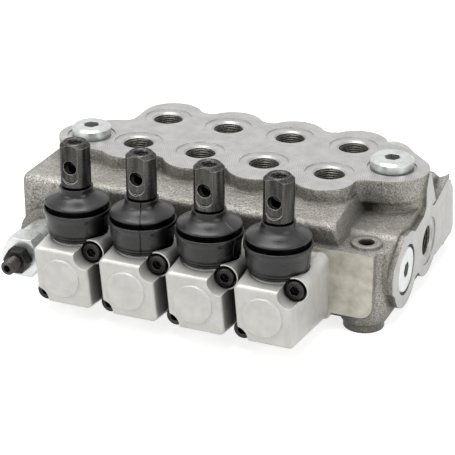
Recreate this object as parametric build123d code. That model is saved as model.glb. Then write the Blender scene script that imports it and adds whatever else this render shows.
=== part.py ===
from build123d import *
import math
import os

# Four-section monoblock directional valve, sizes in millimetres.
# X runs along the row of levers, Y from the levers to the spring caps, Z is up.
# The model is drawn with Y = 0 on the middle plane of the casting and Z = 0 under the feet.

# Sections and casting
sections = 4
pitch = 38.0
end_margin = 50.5
depth = 140.0
deck_height = 68.0
belly_height = 5.0
belly_inset = 4.0
core_bottom = 15.0
shoulder_reach = 65.0
shoulder_run = 22.0
front_shoulder_top = 60.5
front_shoulder_drop = 3.0
left_shoulder_top = 56.5
back_shoulder_top = 54.0
back_shoulder_drop = 8.0
shoulder_end = 22.0
shoulder_slope = 15.0
flange_bottom = 6.0
flange_top = 46.5
flange_thickness = 12.0
flange_reach = 20.0
ear_bottom = 10.4
ear_reach = 8.5
ear_radius = 7.0
cast_radius = 4.0
valley_radius = 6.0
end_pad_thickness = 6.0
pad_front_radius = 21.0
pad_port_radius = 20.0

# Work ports and spotfaces on the deck
port_row = 20.0
port_radius = 8.33
port_depth = 15.0
spotface_radius = 13.65
spotface_depth = 0.6
drill_radius = 5.5

# Lobes of the deck round the ports
lobe_radius = 17.0
front_lobe_y = -29.0
back_lobe_y = 26.5
front_valley_y = -36.0
back_valley_y = 34.3

# Plugs on the deck and at the end
plug_inset = 21.5
left_plug_y = -21.0
right_plug_y = -0.5
left_lobe_radius = 18.5
right_lobe_radius = 20.7
left_root_radius = 24.0
right_root_radius = 27.5
root_inset = 35.0
root_shift = 4.0
skirt_height = 13.0
lobe_step = 0.5
left_plug_radius = 11.0
right_plug_radius = 12.0
plug_head_height = 5.5
plug_thread_depth = 12.0
plug_hex = 8.0
plug_hex_depth = 6.5
washer_thickness = 1.0
side_plug_radius = 12.6
side_recess_radius = 14.0
side_recess_depth = 4.0

# Spools and their galleries
spool_height = 26.0
bore_radius = 8.0
spool_clearance = 0.03
neck_radius = 5.2
groove_radius = 11.0
groove_width = 8.0
land_width = 10.0
pressure_y = 3.0
tank_front_y = -36.0
tank_back_y = 38.0
gallery_radius = 5.5
link_radius = 4.0
link_height = 13.0
stroke = 5.9
seal_radius = 10.5
seal_width = 3.5

# Lever boxes
box_depth = 47.0
base_width = 37.2
base_height = 38.0
base_drop = 0.8
nose_width = 30.6
nose_height = 30.7
nose_rise = 0.35
nose_shift = 0.7
nose_lean = 1.4
box_corner = 3.0
box_edge_radius = 2.0
pad_radius = 10.8
pad_proud = 1.0
chamber_radius = 9.0
chamber_wall = 4.5
lever_inset = 25.5
collar_radius = 14.0
collar_height = 8.0
throat_radius = 7.0
screw_offset_x = 14.0
screw_offset_z = 13.9
counterbore_radius = 6.3
counterbore_depth = 14.5
tube_radius = 4.8
tube_mouth_radius = 7.0
tube_length = 37.5
box_screw_radius = 3.0
box_screw_head = 5.0
screw_head_height = 6.0
screw_grip = 13.0

# Levers, ball joints and boots
arm = 20.0
ball_radius = 7.5
ball_clearance = 0.05
seat_wall = 1.8
seat_depth = 9.0
seat_opening = 5.6
finger_radius = 2.4
finger_ball_radius = 4.0
finger_clearance = 0.25
shank_radius = 5.0
neck_length = 7.0
socket_radius = 8.0
socket_length = 24.5
socket_chamfer = 2.0
lever_thread_radius = 4.0
lever_thread_depth = 20.0
lever_thread_chamfer = 0.4
cross_hole_radius = 3.8
cross_hole_drop = 12.8
flat_distance = 6.5
flat_length = 21.5
flat_cutter_radius = 5.0

# Boots
boot_drop = 2.3
boot_height = 27.5
boot_base_radius = 15.2
boot_rim_radius = 18.0
boot_rim_height = 15.8
boot_rib = 0.4
boot_recess_radius = 14.6
boot_recess_height = 2.8
boot_dome_radius = 17.1
boot_neck_radius = 8.9
boot_wall = 1.4
boot_lip = 2.1
boot_gap = 0.3

# Spring packs and caps
cap_length = 36.0
cap_radius = 14.0
cap_wall = 3.6
cap_flange = 36.4
cap_flange_thickness = 7.0
cap_screw_radius = 2.5
cap_screw_head = 4.2
seat_radius = 9.4
seat_thickness = 2.2
spring_radius = 7.0
spring_wire = 1.1
spring_length = 12.0
spring_turns = 4
end_bolt_radius = 3.0
end_bolt_head = 5.5
end_bolt_head_height = 3.3

# Relief valve in the front left corner
relief_inset = 16.5
relief_height = 24.0
relief_boss_radius = 16.0
relief_body_radius = 11.0
relief_body_length = 16.5
relief_hex = 22.0
relief_hex_length = 13.0
relief_thread_radius = 9.5
relief_thread_depth = 26.0
relief_bore_radius = 5.0
relief_nut_hex = 13.0
relief_nut_height = 6.5
relief_screw_radius = 4.0
relief_screw_proud = 8.4
relief_spring_wire = 0.8
relief_spring_radius = 3.9
relief_seat_radius = 3.0
relief_guide_radius = 4.95
relief_seat_y = 50.0
relief_poppet_length = 9.0
nose_length = 54.0
plunger_front = 14.0
plunger_reach = 12.0

# Inlet check valve under the right deck plug
check_seat = 34.0
check_seat_radius = 3.6
check_guide_radius = 5.45
check_length = 7.0
check_spring_radius = 3.6

# Mounting lugs and feet
lug_inset = 16.5
lug_row = 56.0
lug_radius = 12.5
lug_top_front = 48.0
lug_top_back = 34.0
lug_hole_radius = 4.25
lug_face_radius = 8.0
lug_face_height = 1.5
foot_radius = 11.0

# Fits
thread_clearance = 0.04
slip = 0.2

half_length = (sections - 1) * pitch / 2 + end_margin
front = -depth / 2
back = depth / 2
section_xs = [(i - (sections - 1) / 2) * pitch for i in range(sections)]
lever_y = front - lever_inset
box_front = front - box_depth
ball_height = spool_height + arm
plug_x = half_length - plug_inset
relief_x = -half_length + relief_inset
lug_x = half_length - lug_inset
spool_radius = bore_radius - spool_clearance
pack_start = back + stroke + 0.4
spool_front = lever_y - box_screw_head - 3
cap_end = back + cap_length
seat_outer = ball_radius + seat_wall
seat_bottom = ball_height - seat_depth
collar_top = ball_height + collar_height
boot_seat = ball_height - boot_drop
lever_neck_radius = boot_neck_radius - boot_lip - boot_gap
socket_bottom = boot_seat + boot_height + boot_gap
lever_top = socket_bottom + socket_length
link_x = section_xs[-1] + pitch / 2
relief_front = relief_body_length + relief_hex_length
deck_plugs = [(-plug_x, left_plug_y, left_lobe_radius, left_root_radius),
              (plug_x, right_plug_y, right_lobe_radius, right_root_radius)]
lug_places = [(lug_x, -lug_row), (lug_x, lug_row), (-lug_x, lug_row)]
middle_y = (box_front - pad_proud + cap_end) / 2


def facing(x, y, z, direction, roll=(1, 0, 0)):
    """A plane at a point whose local Z looks along a direction."""
    return Plane(origin=(x, y, z), x_dir=roll, z_dir=direction)


def up(x, y, z):
    return facing(x, y, z, (0, 0, 1))


def backward(x, y, z):
    return facing(x, y, z, (0, 1, 0))


def forward(x, y, z):
    return facing(x, y, z, (0, -1, 0))


def outward(x, y, z):
    """Local Z looks away from the casting's nearer end face."""
    return facing(x, y, z, (math.copysign(1, x), 0, 0), (0, 1, 0))


def rod(place, radius, length):
    return place * Cylinder(radius, length, align=(Align.CENTER, Align.CENTER, Align.MIN))


def turned(place, *profile):
    """Revolve (radius, height) points about the local Z axis of a plane."""
    outline = Polyline(*[(r, 0, h) for r, h in profile], close=True)
    return place * revolve(make_face(outline), Axis.Z, 360)


def washer(place, inner, outer, thickness):
    return turned(place, (inner, 0), (outer, 0), (outer, thickness), (inner, thickness))


def hex_bar(place, across_flats, length):
    return place * extrude(RegularPolygon(across_flats / 2, 6, major_radius=False), length)


def slab(x0, x1, y0, y1, z0, z1):
    return Pos((x0 + x1) / 2, (y0 + y1) / 2, (z0 + z1) / 2) * Box(x1 - x0, y1 - y0, z1 - z0)


def coil(place, radius, wire, length, turns):
    """An open helical spring that stays within its length."""
    rise = length - 2 * wire
    path = Helix(rise / turns, rise, radius)
    section = Plane(origin=path @ 0, z_dir=path % 0) * RegularPolygon(wire, 8)
    return place * Pos(0, 0, wire) * sweep(section, path)


# Casting

def side_view(x):
    """A plane across the casting: its local X is Y and its local Y is Z."""
    return Plane(origin=(x, 0, 0), x_dir=(0, 1, 0), z_dir=(1, 0, 0))


def across(x0, x1, *points):
    """A bar of constant (y, z) section between two X places."""
    return side_view(x0) * extrude(make_face(Polyline(*points, close=True)), x1 - x0)


def plug_lobe(x, y, radius, root_radius):
    """The lobe round a deck plug, which widens towards the ports."""
    tip = Pos(x, y) * Circle(radius)
    root = Pos(math.copysign(half_length - root_inset, x), y + root_shift) * Circle(root_radius)
    return make_hull(tip.edges() + root.edges())


def deck_outline():
    """Lobes round the eight ports and the two plugs, with blended valleys."""
    width = 2 * section_xs[-1]
    shape = Pos(0, (front_valley_y + back_valley_y) / 2) * Rectangle(width, back_valley_y - front_valley_y)
    shape += Pos(0, (front_lobe_y + back_lobe_y) / 2) * Rectangle(width + 2 * lobe_radius,
                                                                  back_lobe_y - front_lobe_y)
    for x in section_xs:
        for y in (front_lobe_y, back_lobe_y):
            shape += Pos(x, y) * Circle(lobe_radius)
    for plug_place in deck_plugs:
        shape += plug_lobe(*plug_place)
    outline = Face(shape.face().outer_wire())
    return offset(offset(outline, valley_radius), -valley_radius)


def deck():
    """The raised deck with a skirt that reaches down into the shoulders."""
    return Pos(0, 0, deck_height - skirt_height) * extrude(deck_outline(), skirt_height)


def shoulder(side, x0, x1, height, drop):
    """The rounded shoulder between the deck and a flange."""
    y = side * shoulder_reach
    face = make_face(Polyline((y, core_bottom), (y, height - drop), (y - side * shoulder_run, height),
                              (0, height), (0, core_bottom), close=True))
    outer = sorted(face.vertices(), key=lambda v: side * v.X)[-3:]
    rounded = fillet([v for v in outer if v.Y > core_bottom + 1], cast_radius)
    return side_view(x0) * extrude(rounded, x1 - x0)


def belly():
    """The lower block that holds the spool bores and galleries."""
    block = Rectangle(2 * (half_length - belly_inset), 2 * (shoulder_reach - belly_inset + 1))
    block = fillet(block.vertices(), 2 * cast_radius)
    return Pos(0, 0, belly_height) * extrude(block, flange_top - belly_height - 1)


def plug_tower(x, y, radius):
    """The round boss under a deck plug, a little smaller than its lobe."""
    return rod(up(x, y, core_bottom), radius - lobe_step, deck_height - lobe_step - core_bottom)


def face_flange(y, x0, x1):
    """The machined block that the lever boxes or the spring caps are bolted to."""
    height = flange_top - flange_bottom
    shape = RectangleRounded(x1 - x0, height, cast_radius)
    return forward((x0 + x1) / 2, y, flange_bottom + height / 2) * extrude(shape, flange_thickness)


def flange_ear():
    """The end of the front flange past the last lever box, with a large lower corner."""
    x0, x1 = section_xs[-1], lug_x + ear_reach
    height = flange_top - ear_bottom
    face = Rectangle(x1 - x0, height).face()
    corner = face.vertices().sort_by(Axis.X)[-2:].sort_by(Axis.Y)[0]
    place = forward((x0 + x1) / 2, front + flange_thickness, ear_bottom + height / 2)
    return place * extrude(fillet(corner, ear_radius), flange_thickness)


def lug(x, y, top):
    """A column for a mounting bolt, with a raised spotface and a round foot."""
    column = rod(up(x, y, belly_height), lug_radius, top - lug_face_height - belly_height)
    column += rod(up(x, y, top - lug_face_height), lug_face_radius, lug_face_height)
    return column + rod(up(x, y, 0), foot_radius, belly_height)


def right_end_pad():
    """The machined end face: two round bosses, an ear, a strip up to the deck and a far corner."""
    pad = Pos(tank_front_y, spool_height) * Circle(pad_front_radius)
    pad += Pos(pressure_y, spool_height) * Circle(pad_port_radius)
    lower = Polyline((-61, 30), (-59, 36), (-42, 48), (-24, 43), (-9, 45), (15, 44), (26, 46), (43, 46),
                     (49, 40), (54, 14), (51, 10.5), (20, 10.5), (-36, 16), (-50, 14), (-60, 22), close=True)
    strip = Polyline((-9, 44), (-4, 49), (-5, 60), (-1, deck_height - 0.5), (2, deck_height - 0.5),
                     (14, 46), close=True)
    far_corner = Polyline((13, 44), (45, 44), (44, 46), (38, 49.5), close=True)
    for outline in (lower, strip, far_corner):
        pad += make_face(outline)
    return side_view(half_length - end_pad_thickness) * extrude(pad, end_pad_thickness)


def left_end_pad():
    """A round boss for the tank port on a machined bar."""
    pad = Pos(tank_back_y, spool_height) * Circle(spotface_radius + 4)
    pad += Pos(0, spool_height) * Rectangle(2 * tank_back_y, 2 * spotface_radius)
    return side_view(-half_length) * extrude(pad, end_pad_thickness)


def casting():
    """The outside of the monoblock before machining."""
    right_end = section_xs[-1] + shoulder_end
    block_end = half_length - end_pad_thickness / 2
    solid = belly() + deck()
    slope = math.radians(shoulder_slope)
    slanted = facing(right_end, 0, flange_top, (math.cos(slope), 0, math.sin(slope)), (0, 1, 0))
    front_shoulder = shoulder(-1, section_xs[0] - shoulder_end, right_end, front_shoulder_top,
                              front_shoulder_drop)
    solid += split(front_shoulder, slanted, Keep.BOTTOM)
    solid += shoulder(-1, 1 - half_length, section_xs[0] - shoulder_end + 1, left_shoulder_top, 0)
    solid += shoulder(1, lug_radius + 2 - lug_x, lug_x - lug_radius - 2, back_shoulder_top,
                      back_shoulder_drop)
    solid += across(right_end - 15, block_end, (-shoulder_reach + 3, 30), (-shoulder_reach + 3, flange_top),
                    (-47, flange_top), (-44, 48.5), (-20, 50), (0, 50), (0, 30))
    solid += across(half_length - 27, half_length - end_pad_thickness, (15, 40), (15, 45), (22, 55),
                    (28, 56.5), (42, 47.5), (46, 40))
    for x, y, radius, _ in deck_plugs:
        solid += plug_tower(x, y, radius)
    for y in (front + flange_thickness, back):
        solid += face_flange(y, section_xs[0] - flange_reach, section_xs[-1] + flange_reach)
    solid += flange_ear()
    solid += rod(backward(relief_x, front, relief_height), relief_boss_radius, 10)
    for x, y in lug_places:
        solid += lug(x, y, lug_top_front if y < 0 else lug_top_back)
    solid += rod(up(relief_x, -lug_row + 4, 0), foot_radius, belly_height + 1)
    return solid + right_end_pad() + left_end_pad()


# Machining of the casting

def port_cut(place, reach):
    """A spotfaced and chamfered port thread with a drilling to a gallery or groove."""
    chamfer_size = 1.0
    return turned(place, (0, 1), (spotface_radius, 1), (spotface_radius, -spotface_depth),
                  (port_radius + chamfer_size, -spotface_depth),
                  (port_radius, -spotface_depth - chamfer_size),
                  (port_radius, -port_depth), (drill_radius, -port_depth - 2), (drill_radius, -reach),
                  (0, -reach))


def spool_bore(x):
    """A through bore with a groove at each gallery and port, and a seal seat at both ends."""
    profile = [(0, front - 1), (seal_radius, front - 1), (seal_radius, front + seal_width)]
    profile.append((bore_radius, front + seal_width))
    for y in (tank_front_y, -port_row, pressure_y, port_row, tank_back_y):
        profile.append((bore_radius, y - groove_width / 2 - 1))
        profile.append((groove_radius, y - groove_width / 2))
        profile.append((groove_radius, y + groove_width / 2))
        profile.append((bore_radius, y + groove_width / 2 + 1))
    profile.append((bore_radius, back - seal_width))
    profile += [(seal_radius, back - seal_width), (seal_radius, back + 1), (0, back + 1)]
    return turned(backward(x, 0, spool_height), *profile)


def screw_places(x):
    """The two corners where a lever box or a spring cap is screwed on."""
    return [(x + s * screw_offset_x, spool_height + s * screw_offset_z) for s in (1, -1)]


def relief_cavity():
    """The stepped bore that takes the relief cartridge and meets the pressure gallery."""
    nose = relief_thread_radius - 2
    return turned(backward(relief_x, front, relief_height), (0, -1), (relief_thread_radius, -1),
                  (relief_thread_radius, relief_thread_depth), (nose, relief_thread_depth + 2),
                  (nose, nose_length + 2), (relief_seat_radius, nose_length + 5),
                  (relief_seat_radius, pressure_y - front), (0, pressure_y - front))


def machined_body():
    solid = casting()
    for x in section_xs:
        solid -= spool_bore(x)
        for y in (-port_row, port_row):
            solid -= port_cut(up(x, y, deck_height), deck_height - spool_height)
        for sx, sz in screw_places(x):
            solid -= rod(backward(sx, front, sz), box_screw_radius + thread_clearance, screw_grip + 2)
            solid -= rod(forward(sx, back, sz), cap_screw_radius + thread_clearance, screw_grip)
    solid -= port_cut(up(-plug_x, left_plug_y, deck_height), deck_height - spool_height)
    solid -= port_cut(up(plug_x, right_plug_y, deck_height), deck_height - check_seat)
    solid -= port_cut(outward(half_length, pressure_y, spool_height), port_depth + 4)
    solid -= port_cut(outward(-half_length, tank_back_y, spool_height), port_depth + 4)
    solid -= rod(outward(half_length - side_recess_depth, tank_front_y, spool_height),
                 side_recess_radius, 10)
    solid -= rod(outward(half_length - port_depth, tank_front_y, spool_height), port_radius, port_depth)
    inner = half_length - port_depth - 2
    for y, x0, x1 in ((tank_front_y, relief_x - 4, inner), (pressure_y, relief_x - 6, inner),
                      (tank_back_y, -inner, link_x)):
        solid -= rod(facing(x0, y, spool_height, (1, 0, 0), (0, 1, 0)), gallery_radius, x1 - x0)
    for y in (tank_front_y, tank_back_y):
        solid -= rod(up(link_x, y, link_height), link_radius, spool_height - link_height)
    solid -= rod(backward(link_x, tank_front_y, link_height), link_radius, tank_back_y - tank_front_y)
    solid -= relief_cavity()
    solid -= rod(up(plug_x, right_plug_y, spool_height), check_seat_radius, deck_height - spool_height)
    for x, y in lug_places:
        solid -= rod(up(x, y, -1), lug_hole_radius, deck_height)
        if y > 0:
            solid -= rod(up(x, y, lug_top_back), lug_radius, deck_height)
    return solid


# Pieces of one section

def spool(x):
    """A land and neck spool with a drilled tang for the lever's finger."""
    half_land = land_width / 2
    profile = [(0, spool_front), (spool_radius - 1, spool_front), (spool_radius, spool_front + 1)]
    for y0, y1 in ((tank_front_y - half_land, -port_row - half_land),
                   (-port_row + half_land, port_row - half_land),
                   (port_row + half_land, tank_back_y + half_land)):
        profile += [(spool_radius, y0), (neck_radius, y0 + 1), (neck_radius, y1 - 1), (spool_radius, y1)]
    profile += [(spool_radius, pack_start), (end_bolt_radius + thread_clearance, pack_start)]
    profile += [(end_bolt_radius + thread_clearance, pack_start - screw_grip - 1),
                (0, pack_start - screw_grip - 1)]
    solid = turned(backward(x, 0, spool_height), *profile)
    eye = finger_ball_radius + finger_clearance
    solid -= slab(x - bore_radius, x + bore_radius, spool_front - 1, lever_y + 2 * eye,
                  spool_height + 3, spool_height + bore_radius)
    return solid - rod(up(x, lever_y, spool_height - bore_radius), eye, 2 * bore_radius)


def nose_outline():
    """The front end of a lever box: narrower than its base and leaning to one side."""
    half = nose_width / 2
    top = nose_height / 2
    corners = [(-half - nose_lean, top), (half - nose_lean, top), (half + nose_lean, -top),
               (nose_lean - half, -top)]
    face = make_face(Polyline(*corners, close=True))
    return fillet(face.vertices(), box_corner)


def lever_box(x):
    """A tapered die-cast box with a collar for the ball, a round pad and two screw pockets."""
    base = forward(x, front, spool_height - base_drop) * RectangleRounded(base_width, base_height,
                                                                          box_corner + 1)
    nose = forward(x + nose_shift, box_front, spool_height + nose_rise) * nose_outline()
    solid = loft([base.face(), nose.face()])
    solid = fillet(solid.faces().sort_by(Axis.Y)[0].edges(), box_edge_radius)
    solid += rod(up(x, lever_y, spool_height), collar_radius, collar_top - spool_height)
    for (sx, sz), mouth, length in zip(screw_places(x), (tube_mouth_radius, tube_radius + 0.4),
                                       (tube_length, box_depth - counterbore_depth)):
        solid += turned(forward(sx, front, sz), (0, 0), (tube_radius, 0), (mouth, length), (0, length))
    pad = rod(forward(x, box_front + 1, spool_height), pad_radius, pad_proud + 1)
    solid += fillet(pad.faces().sort_by(Axis.Y)[0].edges(), pad_proud * 0.6)
    solid -= washer(up(x, lever_y, boot_seat), collar_radius, boot_base_radius + 3 * boot_rib, boot_seat)
    solid -= rod(forward(x, front, spool_height), chamber_radius, box_depth - chamber_wall)
    solid -= rod(up(x, lever_y, seat_bottom), seat_outer, collar_top)
    solid -= rod(up(x, lever_y, spool_height), throat_radius, ball_height - spool_height)
    for sx, sz in screw_places(x):
        solid -= rod(forward(sx, front, sz), box_screw_radius + slip, box_depth)
        solid -= rod(forward(sx, box_front + counterbore_depth, sz), counterbore_radius,
                     counterbore_depth + 1)
    return solid


def ball_socket(x):
    return Pos(x, lever_y, ball_height) * Sphere(ball_radius + ball_clearance)


def ball_seat(x):
    """The lower cup under the lever's ball."""
    cup = washer(up(x, lever_y, seat_bottom), seat_opening, seat_outer - thread_clearance,
                 ball_height - seat_bottom)
    return cup - ball_socket(x)


def ball_retainer(x):
    """The ring above the ball, flared so that the shank can tilt."""
    outer = seat_outer - thread_clearance
    height = collar_top - ball_height
    ring = turned(up(x, lever_y, ball_height), (ball_radius - 0.6, 0), (outer, 0), (outer, height),
                  (ball_radius + 0.8, height), (ball_radius - 0.6, 3))
    return ring - ball_socket(x)


def lever(x):
    """Finger, ball, shank and threaded socket, turned from one bar."""
    mouth = lever_thread_radius + lever_thread_chamfer
    solid = turned(up(x, lever_y, 0),
                   (0, spool_height), (finger_radius, spool_height), (finger_radius, ball_height),
                   (shank_radius, ball_height), (shank_radius, socket_bottom - neck_length - 2),
                   (lever_neck_radius, socket_bottom - neck_length), (lever_neck_radius, socket_bottom),
                   (socket_radius - socket_chamfer / 2, socket_bottom),
                   (socket_radius, socket_bottom + socket_chamfer / 2),
                   (socket_radius, lever_top - socket_chamfer),
                   (socket_radius - socket_chamfer, lever_top), (mouth, lever_top),
                   (lever_thread_radius, lever_top - lever_thread_chamfer),
                   (lever_thread_radius, lever_top - lever_thread_depth),
                   (0, lever_top - lever_thread_depth - 2))
    solid += Pos(x, lever_y, ball_height) * Sphere(ball_radius)
    solid += Pos(x, lever_y, spool_height) * Sphere(finger_ball_radius)
    arc_height = lever_top - flat_length + flat_cutter_radius
    for side in (flat_distance, -flat_distance - socket_radius):
        cut = rod(backward(x, lever_y + side, arc_height), flat_cutter_radius, socket_radius)
        solid -= cut + slab(x - flat_cutter_radius, x + flat_cutter_radius, lever_y + side,
                            lever_y + side + socket_radius, arc_height, lever_top + 1)
    drill = rod(backward(x, lever_y - socket_radius, lever_top - cross_hole_drop), cross_hole_radius,
                2 * socket_radius)
    return solid - drill


def boot(x):
    """A rubber boot: ribbed sleeve with a rim, a deep recess and a flared dome up to the neck.

    It is notched where it meets the head of the upper box screw.
    """
    base, rim, dome, neck = boot_base_radius, boot_rim_radius, boot_dome_radius, boot_neck_radius
    inner = collar_radius + boot_gap
    lip = neck - boot_lip
    rib = boot_rib
    recess_top = boot_rim_height + boot_recess_height
    sleeve = [(inner, 0), (base, 0), (base + rib, 3 * rib), (base, 4 * rib), (base + 2 * rib, 6 * rib),
              (base + rib, 7 * rib), (rim - 4 * rib, 10 * rib), (rim - 2 * rib, boot_rim_height - 4),
              (rim, boot_rim_height - 4 * rib), (rim, boot_rim_height - 2 * rib),
              (rim - rib, boot_rim_height), (rim - boot_wall, boot_rim_height),
              (boot_recess_radius, boot_rim_height - 2 * rib)]
    bell = [(boot_recess_radius, recess_top), (dome - rib, recess_top), (dome, recess_top + rib),
            (dome - rib / 2, recess_top + 2 * rib), (dome - 3, recess_top + 3.6),
            (neck + 1.6, boot_height - 3), (neck, boot_height - boot_wall),
            (neck, boot_height - rib), (neck - rib, boot_height),
            (lip, boot_height)]
    inside = [(lip, boot_height - 2 * boot_wall), (neck + 1, boot_height - 4 * boot_wall),
              (boot_recess_radius - boot_wall, recess_top),
              (boot_recess_radius - boot_wall, boot_rim_height - 1),
              (inner, boot_rim_height - 3)]
    solid = turned(up(x, lever_y, boot_seat), *sleeve, *bell, *inside)
    screw_x, screw_z = screw_places(x)[0]
    return solid - rod(forward(screw_x, lever_y, screw_z), box_screw_head + boot_gap, box_depth)


def seat(place):
    """A flat spring seat with a short collar that centres the spring."""
    hole = end_bolt_radius + slip
    return turned(place, (hole, 0), (seat_radius, 0), (seat_radius, seat_thickness),
                  (spring_radius - spring_wire - slip, seat_thickness),
                  (spring_radius - spring_wire - slip, seat_thickness + 2), (hole, seat_thickness + 2))


def end_bolt(x):
    """The bolt that ties the spring pack to the spool's end."""
    head = pack_start + 2 * seat_thickness + spring_length
    solid = rod(backward(x, pack_start - screw_grip, spool_height), end_bolt_radius,
                head - pack_start + screw_grip)
    solid += rod(backward(x, head, spool_height), end_bolt_head, end_bolt_head_height)
    return solid - hex_bar(backward(x, head + 1, spool_height), 5, end_bolt_head_height)


def spring_cap(x):
    """A turned cap on a square flange that covers one spring pack."""
    solid = backward(x, back, spool_height) * extrude(RectangleRounded(cap_flange, cap_flange, 5),
                                                      cap_flange_thickness)
    solid += turned(backward(x, back, spool_height), (0, 0), (cap_radius + 1, 0),
                    (cap_radius, cap_length - 4),
                    (cap_radius - 3, cap_length), (0, cap_length))
    solid -= rod(backward(x, back, spool_height), cap_radius - cap_wall, cap_length - cap_wall)
    for sx, sz in screw_places(x):
        solid -= rod(backward(sx, back, sz), cap_screw_radius + slip, cap_length)
        solid -= rod(backward(sx, back + cap_flange_thickness, sz), cap_screw_head + slip, cap_length)
    return solid


def socket_screw(place, radius, head_radius, head_height, shank):
    """A socket head screw whose head stands above the plane and whose shank goes below it."""
    head = turned(place, (0, 0), (head_radius, 0), (head_radius, head_height - 0.6),
                  (head_radius - 0.6, head_height), (0, head_height))
    solid = head + rod(place * Pos(0, 0, -shank), radius, shank)
    return solid - hex_bar(place * Pos(0, 0, head_height * 0.45), head_radius, head_height)


def box_screws(x):
    floor = box_front + counterbore_depth
    return [socket_screw(forward(sx, floor, sz), box_screw_radius, box_screw_head, screw_head_height,
                         front - floor + screw_grip) for sx, sz in screw_places(x)]


def cap_screws(x):
    seat_y = back + cap_flange_thickness
    return [socket_screw(backward(sx, seat_y, sz), cap_screw_radius, cap_screw_head, 5,
                         cap_flange_thickness + screw_grip - 2) for sx, sz in screw_places(x)]


def wipers(x):
    """The two rubber rings that seal a spool's ends."""
    inner = bore_radius + thread_clearance
    outer = seal_radius - thread_clearance
    return [washer(backward(x, y, spool_height), inner, outer,
                   seal_width) for y in (front, back - seal_width)]


# Plugs and valves in the casting

def plug(place, head_radius, head_height):
    """A threaded plug with a chamfered head and a hexagon socket, standing on its washer."""
    thread = port_radius - thread_clearance
    edge = head_height / 4
    solid = turned(place, (0, -plug_thread_depth), (thread - 1, -plug_thread_depth),
                   (thread, 1 - plug_thread_depth),
                   (thread, 0), (head_radius, 0), (head_radius, head_height - edge),
                   (head_radius - edge, head_height),
                   (0, head_height))
    return solid - hex_bar(place * Pos(0, 0, head_height - plug_hex_depth), plug_hex, plug_hex_depth + 1)


def plug_washer(place, outer):
    return washer(place, port_radius + slip, outer, washer_thickness)


def relief_place(y):
    return backward(relief_x, front + y, relief_height)


def relief_cartridge():
    """The cartridge: hexagon, round collar, thread and a nose with cross holes and a seat."""
    thread = relief_thread_radius - thread_clearance
    hole = relief_screw_radius + thread_clearance
    solid = turned(relief_place(0), (hole, -relief_body_length - 1),
                   (relief_body_radius, -relief_body_length - 1),
                   (relief_body_radius, 0), (thread, 0), (thread, relief_thread_depth - 1),
                   (relief_thread_radius - 2.2, relief_thread_depth),
                   (relief_thread_radius - 2.2, nose_length),
                   (relief_seat_radius, nose_length), (relief_seat_radius, relief_seat_y),
                   (relief_bore_radius, relief_seat_y), (relief_bore_radius, -relief_body_length),
                   (hole, -relief_body_length))
    barrel = hex_bar(relief_place(-relief_front), relief_hex, relief_hex_length)
    barrel &= turned(relief_place(-relief_front), (0, 0), (relief_hex / 2, 0), (relief_hex / 2 + 2, 1.2),
                     (relief_hex / 2 + 2, relief_hex_length - 1.2), (relief_hex / 2, relief_hex_length),
                     (0, relief_hex_length))
    solid += barrel - rod(relief_place(-relief_front - 1), hole, relief_hex_length + 2)
    outlet = tank_front_y - front
    for direction in ((1, 0, 0), (0, 0, 1)):
        place = facing(relief_x, front + outlet, relief_height, direction, (0, 1, 0))
        solid -= rod(place * Pos(0, 0, -10), 2, 20)
    return solid


def relief_nut():
    place = relief_place(-relief_front - relief_nut_height)
    corner = relief_nut_hex / 2 + 1.2
    nut = hex_bar(place, relief_nut_hex, relief_nut_height)
    nut &= turned(place, (0, 0), (relief_nut_hex / 2 - 0.4, 0), (corner, 1),
                  (corner, relief_nut_height - 0.4),
                  (corner - 0.6, relief_nut_height), (0, relief_nut_height))
    return nut - rod(place * Pos(0, 0, -1), relief_screw_radius + thread_clearance, relief_nut_height + 2)


def relief_screw():
    tip = -relief_front - relief_nut_height - relief_screw_proud
    length = -plunger_front - tip
    solid = turned(relief_place(tip), (0, 0), (relief_screw_radius - 0.8, 0), (relief_screw_radius, 0.8),
                   (relief_screw_radius, length - 0.6), (relief_screw_radius - 0.6, length), (0, length))
    return solid - hex_bar(relief_place(tip - 1), relief_screw_radius, 5)


def relief_plunger():
    """The rod between the set screw and the spring."""
    radius = relief_bore_radius - thread_clearance
    length = plunger_front + plunger_reach
    return turned(relief_place(-plunger_front), (0, 0), (radius, 0), (radius, 3), (radius - 2.4, 3),
                  (radius - 2.4, length - 3), (radius, length - 3), (radius, length), (0, length))


def valve_poppet(place, seat_radius, guide_radius, length):
    """A cone that all but touches the edge of its seat, with a hexagonal guide behind it.

    Local Z starts at the seat and runs along the guide.
    """
    tip = seat_radius / 3
    edge = seat_radius - ball_clearance
    shoulder_radius = guide_radius * 0.8
    cone = turned(place, (0, tip - edge), (tip, tip - edge), (shoulder_radius, shoulder_radius - edge),
                  (shoulder_radius, shoulder_radius - edge + 1), (0, shoulder_radius - edge + 1))
    rest = Pos(0, 0, shoulder_radius - edge)
    return cone + place * rest * extrude(RegularPolygon(guide_radius, 6), length - shoulder_radius + edge)


# The assembly

def section_nodes(number, x):
    """The pieces that each section has for itself."""
    rear_seat_y = pack_start + 2 * seat_thickness + spring_length
    return {
        f"spool_{number}": spool(x),
        f"lever_box_{number}": lever_box(x),
        f"lever_{number}": lever(x),
        f"boot_{number}": boot(x),
        f"spring_cap_{number}": spring_cap(x),
        f"front_seat_{number}": seat(backward(x, pack_start, spool_height)),
        f"rear_seat_{number}": seat(forward(x, rear_seat_y, spool_height)),
        f"centring_spring_{number}": coil(backward(x, pack_start + seat_thickness, spool_height),
                                          spring_radius, spring_wire, spring_length, spring_turns),
        f"end_bolt_{number}": end_bolt(x),
    }


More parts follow.
